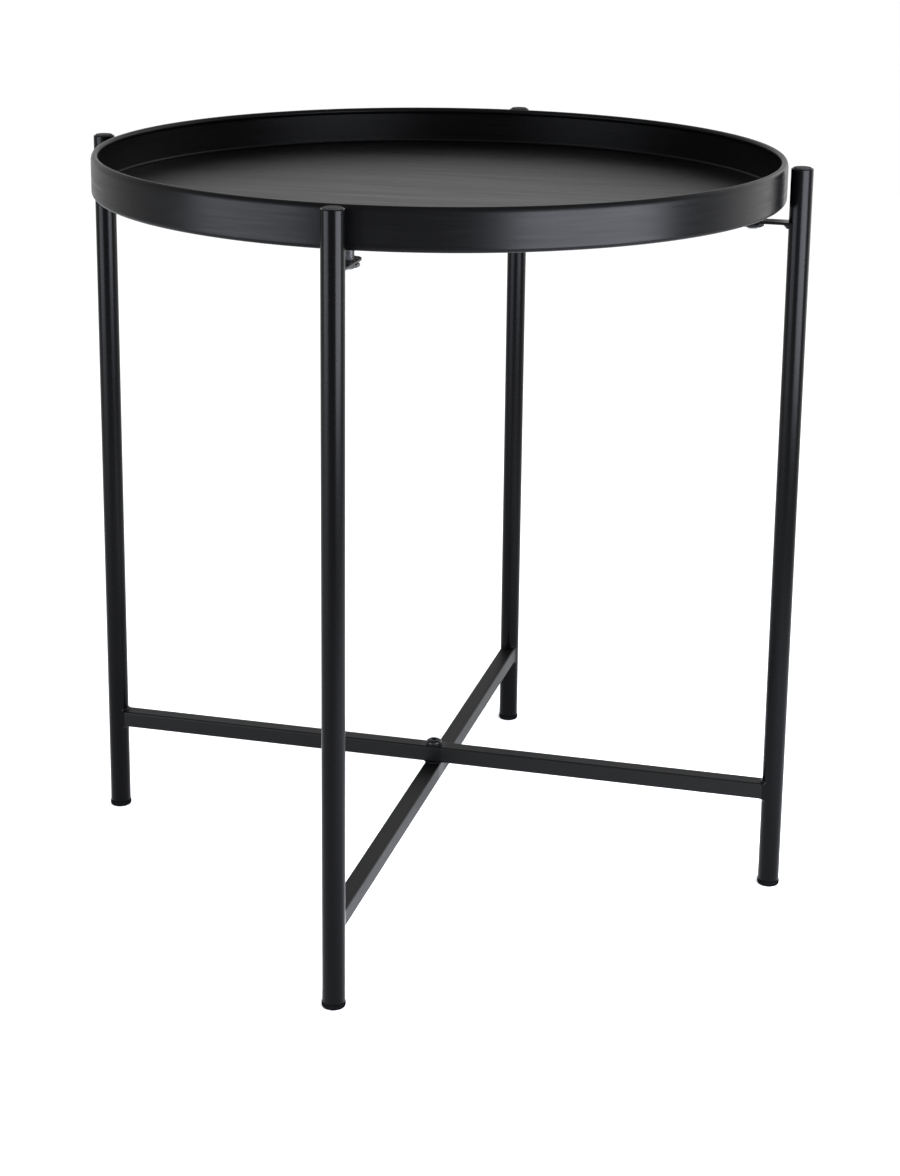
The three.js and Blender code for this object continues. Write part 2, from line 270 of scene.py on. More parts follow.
class Recipe:
    """A finish: one material and the nodes that shade it."""

    def __init__(self, name):
        self.material = bpy.data.materials.new(name)
        self.material.use_nodes = True
        self.tree = self.material.node_tree
        self.shader = self.tree.nodes["Principled BSDF"]
        self.place = self.node("ShaderNodeTexCoord", output="Object")

    def feed(self, socket, value):
        if isinstance(value, Value):
            self.tree.links.new(value.socket, socket)
        else:
            socket.default_value = value

    def node(self, kind, settings=None, values=None, output=0):
        """Adds a node: its settings first, then the values or links of its sockets."""
        made = self.tree.nodes.new(kind)
        for name, setting in (settings or {}).items():
            setattr(made, name, setting)
        for key, value in (values or {}).items():
            self.feed(made.inputs[key], value)
        return Value(self, made.outputs[output])

    def cloud(self, scale, detail=2.0, turn=0.0, shift=0.0):
        """Noise from 0 to 1. The scale is in features per metre along each axis."""
        move = {"Location": (shift, shift, shift), "Rotation": (0, 0, turn), "Scale": scale}
        placed = self.node("ShaderNodeMapping", {"vector_type": "POINT"}, {"Vector": self.place, **move})
        return self.node("ShaderNodeTexNoise", None, {"Vector": placed, "Scale": 1.0, "Detail": detail})

    def axis_distance(self):
        """Distance from the pivot axis."""
        flat = self.node("ShaderNodeVectorMath", {"operation": "MULTIPLY"}, {0: self.place, 1: (1, 1, 0)})
        return self.node("ShaderNodeVectorMath", {"operation": "LENGTH"}, {0: flat}, output="Value")

    def height(self):
        """Height above the floor."""
        return self.node("ShaderNodeSeparateXYZ", None, {0: self.place}, output="Z")

    def tint(self, mask, low, high):
        """The colour low where the mask is 0 and high where it is 1."""
        colours = {"Factor": mask, 6: (*low, 1.0), 7: (*high, 1.0)}
        return self.node("ShaderNodeMix", {"data_type": "RGBA"}, colours, output=2)

    def relief(self, height, depth):
        """Raises the surface by the height, times a depth in metres."""
        bump = self.node("ShaderNodeBump", None, {"Height": height, "Distance": depth, "Strength": 1.0})
        self.feed(self.shader.inputs["Normal"], bump)

    def set(self, **values):
        """Sets or links the shader's sockets, named with _ for a space."""
        for name, value in values.items():
            self.feed(self.shader.inputs[name.replace("_", " ")], value)


def shade(colour, factor):
    """A colour made lighter or darker."""
    return tuple(channel * factor for channel in colour)


def powder_coat(name, colour, roughness, gloss):
    """Satin black powder coat of the frames: smoother on the round tubes than on the flats of the bars."""
    recipe = Recipe(name)
    drift = recipe.cloud((9, 9, 5), detail=2)
    peel = recipe.cloud((420, 420, 300), detail=2)
    grain = recipe.cloud((2600, 2600, 2600), detail=1)
    specks = recipe.cloud((700, 700, 700), detail=0, shift=3.7).step(0.78, 0.84)
    rubbed = recipe.axis_distance().step(UNRUBBED_FROM, RUBBED_TO)
    recipe.set(
        Base_Color=recipe.tint(specks * 0.5 + drift * 0.3, colour, shade(colour, 2.6)),
        Roughness=roughness + (drift - 0.5) * 0.1 + (grain - 0.5) * 0.06 - rubbed * 0.1 + specks * 0.1,
        Specular_IOR_Level=gloss,
    )
    recipe.relief(peel * 0.8 + grain * 0.2 + specks * 0.3, 0.006 * MM)
    return recipe.material


def brushed_lacquer(name, colour):
    """Thin black lacquer over brushed sheet: fine lines round the wall and straight lines over the floor."""
    recipe = Recipe(name)
    drift = recipe.cloud((7, 7, 30), detail=2)
    wall_lines = recipe.cloud((26, 26, 620), detail=3)
    wall_bands = recipe.cloud((9, 9, 260), detail=1, shift=1.3)
    floor_lines = recipe.cloud((12, 380, 12), detail=3, turn=BRUSH_ANGLE)
    floor_bands = recipe.cloud((3, 90, 3), detail=1, turn=BRUSH_ANGLE, shift=2.1)
    normal = recipe.node("ShaderNodeNewGeometry", output="Normal")
    upward = recipe.node("ShaderNodeSeparateXYZ", None, {0: normal}, output="Z")
    level = recipe.node("ShaderNodeMath", {"operation": "ABSOLUTE"}, {0: upward}).step(0.8, 0.97)
    fine = floor_lines * level + wall_lines * (1 - level)
    broad = floor_bands * level + wall_bands * (1 - level)
    dust = recipe.cloud((900, 900, 900), detail=0, shift=5.1).step(0.8, 0.86)
    recipe.set(
        Base_Color=recipe.tint(fine * 0.35 + dust * 0.4, colour, shade(colour, 2.4)),
        Roughness=TRAY_ROUGHNESS
        + (fine - 0.5) * 0.2
        + (broad - 0.5) * 0.09
        + (drift - 0.5) * 0.04
        + dust * 0.1,
        Specular_IOR_Level=COAT_GLOSS,
    )
    recipe.relief(fine * 0.75 + broad * 0.25, 0.05 * MM)
    return recipe.material


def moulded_plastic(name, colour, roughness, gloss, scuff_height):
    """Black moulded plastic with a fine spark-eroded grain, scuffed below a height."""
    recipe = Recipe(name)
    grain = recipe.cloud((1500, 1500, 1500), detail=2)
    swirl = recipe.cloud((160, 160, 160), detail=1)
    scuffs = recipe.cloud((500, 500, 60), detail=3, shift=2.9).step(0.5, 0.62)
    worn = recipe.height().step(scuff_height, 0.0) * scuffs
    recipe.set(
        Base_Color=recipe.tint(swirl * 0.3 + worn * 0.6, colour, shade(colour, 3.0)),
        Roughness=roughness + (grain - 0.5) * 0.12 + (swirl - 0.5) * 0.08 + worn * 0.2,
        Specular_IOR_Level=gloss,
    )
    recipe.relief(grain - worn * 0.5, 0.006 * MM)
    return recipe.material


def zinc_plate(name, colour):
    """Bright zinc plating with slight iridescence, dulled in patches."""
    recipe = Recipe(name)
    patches = recipe.cloud((260, 260, 260), detail=3)
    film = recipe.cloud((120, 120, 200), detail=1, shift=4.4)
    grain = recipe.cloud((2400, 2400, 2400), detail=1)
    warm = (colour[0] * 1.12, colour[1] * 1.05, colour[2] * 0.9)
    cool = (colour[0] * 0.88, colour[1] * 0.96, colour[2] * 1.1)
    recipe.set(
        Base_Color=recipe.tint(film, warm, cool),
        Metallic=1.0 - patches * 0.15,
        Roughness=ZINC_ROUGHNESS + patches * 0.2 + (grain - 0.5) * 0.08,
    )
    recipe.relief(grain, 0.003 * MM)
    return recipe.material


def blackened_steel(name, colour):
    """Black oxide of the nuts, the pivot bolt and its washer, with faint turning marks round the pivot."""
    recipe = Recipe(name)
    radius = recipe.axis_distance()
    height = recipe.height()
    rings = recipe.node("ShaderNodeCombineXYZ", None, {0: radius * 2200.0, 2: height * 1800.0})
    turning = recipe.node("ShaderNodeTexNoise", None, {"Vector": rings, "Scale": 1.0, "Detail": 1.0})
    patches = recipe.cloud((420, 420, 420), detail=2)
    recipe.set(
        Base_Color=recipe.tint(patches, shade(colour, 0.7), shade(colour, 1.6)),
        Metallic=0.1,
        Roughness=FASTENER_ROUGHNESS + patches * 0.12 + (turning - 0.5) * 0.1,
        Specular_IOR_Level=FASTENER_GLOSS,
    )
    recipe.relief(turning * 0.6 + patches * 0.4, 0.003 * MM)
    return recipe.material


def finish_named(name, make, *details):
    """A finish is made once and shared, under a name that no slot of the frame has."""
    return bpy.data.materials.get(name) or make(name, *details)


def frame_finish(settings):
    colour = settings.finishes.frame_colour
    return finish_named("black_powder_coat", powder_coat, colour, COAT_ROUGHNESS, COAT_GLOSS)


def bar_finish(settings):
    colour = settings.finishes.bar_colour
    return finish_named("matt_powder_coat", powder_coat, colour, BAR_ROUGHNESS, BAR_GLOSS)


def dark_fastener_finish(settings):
    return finish_named("blackened_steel", blackened_steel, settings.finishes.fastener_colour)


def zinc_finish(settings):
    return finish_named("zinc_plate", zinc_plate, settings.finishes.zinc_colour)


# ---------------------------------------------------------------- workshop


def clear_bench():
    bpy.ops.object.select_all(action="DESELECT")


def hold(piece):
    """Makes a piece the only selected one."""
    clear_bench()
    piece.select_set(True)
    bpy.context.view_layer.objects.active = piece


def centre_of(node):
    low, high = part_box(node)
    return (low + high) / 2


def arc(centre, height, radius, start, end, steps):
    """(radius, height) points of an arc in the profile plane, from one angle to another in degrees."""
    points = []
    for step in range(steps + 1):
        angle = math.radians(start + (end - start) * step / steps)
        points.append((centre + radius * math.cos(angle), height + radius * math.sin(angle)))
    return points


def start_ring(name, axis, profile, sides, filled):
    """Adds a circle at the profile's first point, all of it selected in edit mode."""
    radius, height = profile[0]
    clear_bench()
    bpy.ops.mesh.primitive_circle_add(
        vertices=sides,
        radius=radius,
        fill_type="NGON" if filled else "NOTHING",
        location=(axis.x, axis.y, height),
    )
    piece = bpy.context.active_object
    piece.name = name
    bpy.ops.object.transform_apply(location=True, rotation=False, scale=False)
    bpy.ops.object.mode_set(mode="EDIT")
    bpy.ops.mesh.select_all(action="SELECT")
    return piece


def draw_out(axis, profile):
    """Extrudes the selected ring or disc from each (radius, height) point of the profile to the next."""
    for (radius, height), (next_radius, next_height) in zip(profile, profile[1:]):
        bpy.ops.mesh.extrude_region_move(TRANSFORM_OT_translate={"value": (0, 0, next_height - height)})
        if abs(next_radius - radius) > SAME_PLACE / 10:
            ratio = next_radius / radius
            bpy.ops.transform.resize(value=(ratio, ratio, 1), center_override=(axis.x, axis.y, next_height))


def close_skin():
    """Merges doubled points and turns the faces outward, then leaves edit mode."""
    bpy.ops.mesh.select_all(action="SELECT")
    bpy.ops.mesh.remove_doubles(threshold=SAME_PLACE)
    bpy.ops.mesh.normals_make_consistent(inside=False)
    bpy.ops.object.mode_set(mode="OBJECT")


def turned(name, axis, profile, sides):
    """A solid of revolution about a vertical axis, from the disc at its first point to its last."""
    piece = start_ring(name, axis, profile, sides, filled=True)
    draw_out(axis, profile)
    close_skin()
    return piece


def turned_ring(name, axis, profile, sides):
    """A body of revolution with a hole along its axis. The profile comes back to its first point."""
    piece = start_ring(name, axis, profile, sides, filled=False)
    draw_out(axis, [*profile, profile[0]])
    close_skin()
    return piece


def start_block(name, low, high):
    """Adds a block between two corners and goes into edit mode with nothing selected."""
    clear_bench()
    bpy.ops.mesh.primitive_cube_add(size=1, location=(low + high) / 2, scale=high - low)
    piece = bpy.context.active_object
    piece.name = name
    bpy.ops.object.transform_apply(location=True, rotation=True, scale=True)
    bpy.ops.object.mode_set(mode="EDIT")
    bpy.ops.mesh.select_all(action="DESELECT")
    return piece


def pick(piece, kind, wanted):
    """Selects the points, edges or faces, in edit mode, that are wanted by place or normal."""
    bpy.ops.mesh.select_mode(type=kind)
    bpy.ops.mesh.select_all(action="DESELECT")
    skin = bmesh.from_edit_mesh(piece.data)
    parts = {"VERT": skin.verts, "EDGE": skin.edges, "FACE": skin.faces}[kind]
    found = [part for part in parts if wanted(part)]
    if not found:
        raise RuntimeError(f"{piece.name}: nothing to select where {kind.lower()}s were expected")
    for part in found:
        part.select_set(True)
    skin.select_flush_mode()
    bmesh.update_edit_mesh(piece.data)


def work(piece, kind, **settings):
    """Adds a modifier and applies it."""
    hold(piece)
    modifier = piece.modifiers.new(kind.lower(), kind)
    for name, setting in settings.items():
        setattr(modifier, name, setting)
    bpy.ops.object.modifier_apply(modifier=modifier.name)


def combine(piece, tool, operation):
    """Cuts a tool out of a piece, or keeps only what they share, and throws the tool away."""
    work(piece, "BOOLEAN", operation=operation, solver="EXACT", object=tool)
    bpy.data.objects.remove(tool)


def drill(piece, axis, radius, low, high, chamfer=0.0):
    """Bores an upright hole, straight or with a chamfer at both mouths."""
    mouth = radius + chamfer + THIN_SPARE if chamfer else radius
    spare = THIN_SPARE if chamfer else SPARE
    profile = [
        (mouth, low - spare),
        (radius, low + chamfer),
        (radius, high - chamfer),
        (mouth, high + spare),
    ]
    combine(piece, turned("drill", axis, profile, TUBE_SIDES), "DIFFERENCE")


def polish(piece):
    """Smooth shading with crisp edges and true flats."""
    hold(piece)
    bpy.ops.object.shade_smooth_by_angle(angle=CREASE)
    work(piece, "WEIGHTED_NORMAL", keep_sharp=True, weight=50)


def turned_copy(piece, name, quarters, lift=0.0):
    """A copy with its own mesh, turned about the pivot axis by quarter turns."""
    hold(piece)
    bpy.ops.object.duplicate(linked=False)
    copy = bpy.context.active_object
    copy.name = name
    copy.rotation_euler = (0, 0, quarters * TURN / 4)
    copy.location = (0, 0, lift)
    bpy.ops.object.transform_apply(location=True, rotation=True, scale=True)
    return copy


def fit(piece, body, slot, finish, *nodes):
    """Gives a finished piece its finish and its body, and hides the nodes that it stands for."""
    piece.data.name = piece.name
    piece.data.materials.clear()
    piece.data.materials.append(finish)
    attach(piece, body)
    if nodes:
        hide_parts(*nodes)


def fit_to_legs(piece, title, slot, finish, node=None):
    """Copies a piece from the right-hand leg to the other legs, then fits all four."""
    pieces = {}
    for side, (_, quarters) in LEG_SIDES.items():
        pieces[side] = turned_copy(piece, f"{title}_{side}", quarters) if quarters else piece
    piece.name = f"{title}_right"
    for side, (body, _) in LEG_SIDES.items():
        nodes = [f"{node}_{side}"] if node else []
        fit(pieces[side], body, slot, finish, *nodes)


def cut_thread(piece, axis, radius, pitch, low, high, run_out):
    """Presses a right-hand thread into a finely ringed rod, fading out towards both ends."""
    depth = THREAD_DEPTH * pitch
    for point in piece.data.vertices:
        side = Vector((point.co.x - axis.x, point.co.y - axis.y))
        if side.length < radius - depth / 2:
            continue
        turns = (point.co.z - low) / pitch - math.atan2(side.y, side.x) / TURN
        ridge = abs(2 * (turns % 1) - 1)
        groove = min(max((ridge - CREST) / FLANK, 0), 1)
        fade = min(max(min(point.co.z - low, high - point.co.z) / run_out, 0), 1)
        side *= (side.length - depth * groove * fade) / side.length
        point.co.x = axis.x + side.x
        point.co.y = axis.y + side.y


def threaded_rod_profile(radius, pitch, low, high, chamfer):
    """Profile of a rod with enough rings for its thread."""
    steps = round((high - low - 2 * chamfer) / pitch * THREAD_RINGS)
    body = [(radius, low + chamfer + (high - low - 2 * chamfer) * i / steps) for i in range(steps + 1)]
    return [(radius - chamfer, low), *body, (radius - chamfer, high)]


def hexagon_nut(name, axis, flats, bore, low, high):
    """A hexagon nut with chamfered corners and a chamfered bore."""
    corner = flats / math.sqrt(3)
    clear_bench()
    bpy.ops.mesh.primitive_cylinder_add(
        vertices=6,
        radius=corner,
        depth=high - low,
        location=(axis.x, axis.y, (low + high) / 2),
        rotation=(0, 0, TURN / 4),
    )
    nut = bpy.context.active_object
    nut.name = name
    bpy.ops.object.transform_apply(location=True, rotation=True, scale=True)
    face = flats / 2 * NUT_FACE
    wide = corner * NUT_REACH
    slope = (wide - face) * math.tan(NUT_SLOPE)
    profile = [(face, low), (wide, low + slope), (wide, high - slope), (face, high)]
    combine(nut, turned("chamfer", axis, profile, WASHER_SIDES), "INTERSECT")
    drill(nut, axis, bore, low, high, chamfer=0.4 * MM)
    polish(nut)
    return nut


def washer(name, node, bore, edge):
    """A flat ring with rolled edges, filling a node's box."""
    low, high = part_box(node)
    axis = centre_of(node)
    outer = (high.x - low.x) / 2
    profile = [
        *arc(bore + edge, low.z + edge, edge, 180, 270, 3),
        *arc(outer - edge, low.z + edge, edge, -90, 0, 3),
        *arc(outer - edge, high.z - edge, edge, 0, 90, 3),
        *arc(bore + edge, high.z - edge, edge, 90, 180, 3),
    ]
    ring = turned_ring(name, axis, profile, WASHER_SIDES)
    polish(ring)
    return ring


def stem_ribs(radius, depth, count, start, end):
    """Profile of a push-in stem: ribs with grooves between them, from one height to another."""
    pitch = (end - start) / (2 * count + 1)
    points = []
    for index in range(count):
        foot = start + 2 * index * pitch
        points += [(radius, foot), (radius, foot + 0.8 * pitch)]
        points += [(radius - depth, foot + pitch), (radius - depth, foot + 1.8 * pitch)]
    points += [(radius, end - pitch)]
    return points


def seat_on_leg(piece, axis, radius, ripple, seed):
    """Bends a straight weld bead, drawn on the plane that touches the leg, round the leg's tube."""
    for point in piece.data.vertices:
        across = min(abs(point.co.y), radius * WRAP)
        point.co.x += radius - math.sqrt(radius * radius - across * across)
        point.co += noise.noise_vector(point.co * RIPPLE_SCALE + Vector((seed, 0, 0))) * ripple


# ---------------------------------------------------------------- pieces


class TRAYTABLE_OT_tray(bpy.types.Operator):
    """Model the tray: flat floor, upright wall and a bead rolled inward at the top"""

    bl_idname = "tray_table.tray"
    bl_label = "Tray"

    def execute(self, context):
        settings = context.scene.tray_table
        sizes = settings.tray
        low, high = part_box("tray")
        outer = (high.x - low.x) / 2
        corner = sizes.corner_radius
        bead = sizes.bead_radius
        meets_wall = math.degrees(math.acos((bead - sizes.sheet) / bead))
        roll = sizes.shoulder
        roll_steps = 10
        shoulder = [
            (outer - bead + bead * math.cos(angle), high.z - roll + roll * math.sin(angle))
            for angle in (TURN / 4 * step / roll_steps for step in range(roll_steps))
        ]
        profile = [
            (outer - corner - 1 * MM, low.z),
            *arc(outer - corner, low.z + corner, corner, -90, 0, 8),
            *shoulder,
            *arc(outer - bead, high.z - bead, bead, 90, 360 - meets_wall, 16),
            *arc(outer - corner, low.z + corner, corner - sizes.sheet, 0, -90, 7),
            (outer - corner - 1 * MM, low.z + sizes.sheet),
        ]
        tray = turned("tray_shell", Vector((0, 0, 0)), profile, TRAY_SIDES)
        polish(tray)
        finish = finish_named("brushed_black_lacquer", brushed_lacquer, settings.finishes.tray_colour)
        fit(tray, "tray", "tray_steel", finish, "tray")
        return {"FINISHED"}


class TRAYTABLE_OT_legs(bpy.types.Operator):
    """Model the four leg tubes, rounded at the top edge"""

    bl_idname = "tray_table.legs"
    bl_label = "Legs"

    def execute(self, context):
        settings = context.scene.tray_table
        sizes = settings.frames
        low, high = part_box("leg_right")
        axis = centre_of("leg_right")
        outer = (high.x - low.x) / 2
        bore = outer - sizes.tube_wall
        burr = 0.2 * MM
        profile = [
            (bore, low.z),
            *arc(outer - burr, low.z + burr, burr, -90, 0, 3),
            *arc(outer - sizes.tube_round, high.z - sizes.tube_round, sizes.tube_round, 0, 90, 6),
            *arc(bore + burr, high.z - burr, burr, 90, 180, 3),
        ]
        leg = turned_ring("leg_tube", axis, profile, TUBE_SIDES)
        polish(leg)
        fit_to_legs(leg, "leg_tube", "frame_steel", frame_finish(settings), "leg")
        return {"FINISHED"}


class TRAYTABLE_OT_top_plugs(bpy.types.Operator):
    """Model the ribbed plugs pressed into the leg tops"""

    bl_idname = "tray_table.top_plugs"
    bl_label = "Top plugs"

    def execute(self, context):
        settings = context.scene.tray_table
        sizes = settings.plugs
        low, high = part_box("top_plug_right")
        axis = centre_of("top_plug_right")
        outer = (high.x - low.x) / 2
        tube_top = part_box("leg_right")[1].z
        edge = sizes.plug_round
        profile = [
            (outer - 1 * MM, low.z),
            *stem_ribs(outer, sizes.rib_depth, sizes.rib_count, low.z, tube_top),
            *arc(outer - edge, high.z - edge, edge, 0, 90, 4),
            (outer - edge - 0.6 * MM, high.z),
        ]
        plug = turned("leg_plug", axis, profile, PLUG_SIDES)
        polish(plug)
        colour = settings.finishes.plug_colour
        finish = finish_named("plug_moulding", moulded_plastic, colour, PLUG_ROUGHNESS, PLUG_GLOSS, NO_SCUFFS)
        fit_to_legs(plug, "leg_plug", "plug_plastic", finish, "top_plug")
        return {"FINISHED"}


class TRAYTABLE_OT_foot_glides(bpy.types.Operator):
    """Model the ribbed glides under the legs"""

    bl_idname = "tray_table.foot_glides"
    bl_label = "Foot glides"

    def execute(self, context):
        settings = context.scene.tray_table
        sizes = settings.plugs
        low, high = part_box("foot_glide_right")
        axis = centre_of("foot_glide_right")
        tube_low, tube_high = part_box("leg_right")
        flange = (high.x - low.x) / 2
        stem = (tube_high.x - tube_low.x) / 2 - settings.frames.tube_wall - settings.fasteners.clearance
        flange_top = tube_low.z - settings.fasteners.clearance
        edge = sizes.glide_round
        lip = 0.35 * MM
        profile = [
            (flange - edge - 1 * MM, 0.0),
            *arc(flange - edge, edge, edge, -90, 0, 7),
            *arc(flange - lip, flange_top - lip, lip, 0, 90, 3),
            *stem_ribs(stem, sizes.rib_depth, sizes.rib_count, flange_top, high.z),
            (stem, high.z - 0.5 * MM),
            (stem - 0.5 * MM, high.z),
        ]
        glide = turned("leg_glide", axis, profile, PLUG_SIDES)
        polish(glide)
        colour = settings.finishes.foot_colour
        finish = finish_named(
            "foot_moulding", moulded_plastic, colour, FOOT_ROUGHNESS, FOOT_GLOSS, FOOT_SCUFFS
        )
        fit_to_legs(glide, "leg_glide", "foot_plastic", finish, "foot_glide")
        return {"FINISHED"}


class TRAYTABLE_OT_tray_tabs(bpy.types.Operator):
    """Model the flat tabs with rounded tips, coped round the legs and drilled for the studs"""

    bl_idname = "tray_table.tray_tabs"
    bl_label = "Tray tabs"

    def execute(self, context):
        settings = context.scene.tray_table
        edge = settings.frames.tab_edge
        low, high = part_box("tray_tab_right")
        leg = centre_of("leg_right")
        leg_low, leg_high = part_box("leg_right")
        stud = centre_of("tray_stud_right")
        half = (high.y - low.y) / 2
        tab = start_block("leg_tab", low, Vector((leg.x - 1 * MM, high.y, high.z)))

        def at_tip(part):
            ends = [point.co for point in part.verts]
            upright = abs(ends[0].z - ends[1].z) > SAME_PLACE
            return upright and max(end.x for end in ends) < low.x + SAME_PLACE

        pick(tab, "EDGE", at_tip)
        bpy.ops.mesh.bevel(offset=half - 0.01 * MM, segments=20, affect="EDGES")
        inner_end = leg.x - 1 * MM - SAME_PLACE

        def on_outline(part):
            ends = [point.co for point in part.verts]
            level = abs(ends[0].z - ends[1].z) < SAME_PLACE
            return level and min(end.x for end in ends) < inner_end

        pick(tab, "EDGE", on_outline)
        bpy.ops.mesh.bevel(offset=edge, segments=3, affect="EDGES")
        close_skin()
        stud_low, stud_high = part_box("tray_stud_right")
        stud_radius = (stud_high.x - stud_low.x) / 2
        drill(tab, stud, stud_radius + settings.fasteners.clearance, low.z, high.z)
        drill(tab, leg, (leg_high.x - leg_low.x) / 2 + SNUG, low.z, high.z)
        polish(tab)
        fit_to_legs(tab, "leg_tab", "frame_steel", frame_finish(settings), "tray_tab")
        return {"FINISHED"}


class TRAYTABLE_OT_tray_studs(bpy.types.Operator):
    """Model the threaded studs that carry the tray"""

    bl_idname = "tray_table.tray_studs"
    bl_label = "Tray studs"

    def execute(self, context):
        settings = context.scene.tray_table
        pitch = settings.fasteners.stud_pitch
        low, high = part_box("tray_stud_right")
        axis = centre_of("tray_stud_right")
        radius = (high.x - low.x) / 2
        profile = threaded_rod_profile(radius, pitch, low.z, high.z, 0.6 * MM)
        stud = turned("tray_post", axis, profile, ROD_SIDES)
        cut_thread(stud, axis, radius, pitch, low.z, high.z, 0.9 * MM)
        polish(stud)
        fit_to_legs(stud, "tray_post", "zinc", zinc_finish(settings), "tray_stud")
        return {"FINISHED"}


class TRAYTABLE_OT_stud_nuts(bpy.types.Operator):
    """Model the thin hexagon nuts that hold the studs in the tabs"""

    bl_idname = "tray_table.stud_nuts"
    bl_label = "Stud nuts"

    def execute(self, context):
        settings = context.scene.tray_table
        low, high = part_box("stud_nut_right")
        stud_low, stud_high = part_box("tray_stud_right")
        bore = (stud_high.x - stud_low.x) / 2 + settings.fasteners.clearance
        nut = hexagon_nut("post_nut", centre_of("stud_nut_right"), high.y - low.y, bore, low.z, high.z)
        fit_to_legs(nut, "post_nut", "zinc", dark_fastener_finish(settings), "stud_nut")
        return {"FINISHED"}


class TRAYTABLE_OT_crossbars(bpy.types.Operator):
    """Model the two square crossbars, coped round the legs and drilled for the pivot bolt"""

    bl_idname = "tray_table.crossbars"
    bl_label = "Crossbars"

    def execute(self, context):
        settings = context.scene.tray_table
        sizes = settings.frames
        low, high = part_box("crossbar_upper")
        leg = centre_of("leg_right")
        leg_low, leg_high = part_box("leg_right")
        reach = leg.x - 1 * MM
        bar = start_block("bar_upper", Vector((-reach, low.y, low.z)), Vector((reach, high.y, high.z)))
        pick(bar, "EDGE", lambda part: abs(part.verts[0].co.x - part.verts[1].co.x) > reach)
        bpy.ops.mesh.bevel(offset=sizes.bar_corner, segments=6, affect="EDGES")
        pick(bar, "FACE", lambda part: abs(part.normal.x) > 0.9)
        bpy.ops.mesh.delete(type="FACE")
        close_skin()
        work(bar, "SOLIDIFY", thickness=sizes.bar_wall, offset=-1, use_even_offset=True, use_rim=True)
        cope = (leg_high.x - leg_low.x) / 2 + SNUG
        for side in (1, -1):
            drill(bar, Vector((side * leg.x, 0, 0)), cope, low.z, high.z)
        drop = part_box("crossbar_lower")[0].z - low.z
        lower = turned_copy(bar, "bar_lower", 1, lift=drop)
        clearance = settings.fasteners.clearance
        pivot = Vector((0, 0, 0))
        drill(bar, pivot, settings.fasteners.bolt_diameter / 2 + clearance, low.z, high.z)
        insert_low, insert_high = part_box("pivot_insert")
        seat = (insert_high.x - insert_low.x) / 2 + clearance
        drill(lower, pivot, seat, insert_low.z, insert_high.z)
        polish(bar)
        polish(lower)
        finish = bar_finish(settings)
        fit(bar, "frame_a", "frame_steel", finish, "crossbar_upper")
        fit(lower, "frame_b", "frame_steel", finish, "crossbar_lower")
        return {"FINISHED"}


class TRAYTABLE_OT_bar_welds(bpy.types.Operator):
    """Model the weld beads where the crossbars meet the legs"""

    bl_idname = "tray_table.bar_welds"
    bl_label = "Bar welds"

    def execute(self, context):
        settings = context.scene.tray_table
        low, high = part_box("crossbar_upper")
        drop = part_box("crossbar_lower")[0].z - low.z
        leg = centre_of("leg_right")
        leg_low, leg_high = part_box("leg_right")
        radius = (leg_high.x - leg_low.x) / 2
        middle = Vector((leg.x - radius, 0, (low.z + high.z) / 2))
        width = high.y - low.y
        clear_bench()
        bpy.ops.mesh.primitive_plane_add(size=width, location=middle, rotation=(0, TURN / 4, 0))
        weld = bpy.context.active_object
        weld.name = "bar_weld"
        bpy.ops.object.transform_apply(location=True, rotation=True, scale=True)
        bpy.ops.object.mode_set(mode="EDIT")
        bpy.ops.mesh.select_all(action="SELECT")
        bpy.ops.mesh.delete(type="ONLY_FACE")
        bpy.ops.mesh.select_all(action="SELECT")
        bpy.ops.mesh.subdivide(number_cuts=9)
        half = width / 2 - SAME_PLACE

        def at_corner(part):
            return abs(part.co.y) > half and abs(part.co.z - middle.z) > half

        pick(weld, "VERT", at_corner)
        bpy.ops.mesh.bevel(offset=settings.frames.bar_corner * 0.8, segments=4, affect="VERTICES")
        bpy.ops.mesh.select_all(action="SELECT")
        centre = tuple(middle)
        away, across, along = BAR_WELD_SECTION[0]
        bpy.ops.transform.translate(value=(-away, 0, 0))
        scale = (1, (width + 2 * across) / width, (width + 2 * along) / width)
        bpy.ops.transform.resize(value=scale, center_override=centre)
        for start, end in zip(BAR_WELD_SECTION, [*BAR_WELD_SECTION[1:], BAR_WELD_SECTION[0]]):
            bpy.ops.mesh.extrude_region_move(TRANSFORM_OT_translate={"value": (start[0] - end[0], 0, 0)})
            wider = (width + 2 * end[1]) / (width + 2 * start[1])
            taller = (width + 2 * end[2]) / (width + 2 * start[2])
            bpy.ops.transform.resize(value=(1, wider, taller), center_override=centre)
        close_skin()
        finish = frame_finish(settings)
        seed_step = 5.3
        for count, (side, (body, quarters)) in enumerate(LEG_SIDES.items()):
            bead = turned_copy(weld, "bar_bead", 0)
            seat_on_leg(bead, leg, radius, settings.frames.weld_ripple, count * seed_step)
            lift = drop if body == "frame_b" else 0.0
            seated = turned_copy(bead, f"bar_weld_{side}", quarters, lift)
            bpy.data.objects.remove(bead)
            polish(seated)
            fit(seated, body, "frame_steel", finish)
        bpy.data.objects.remove(weld)
        return {"FINISHED"}


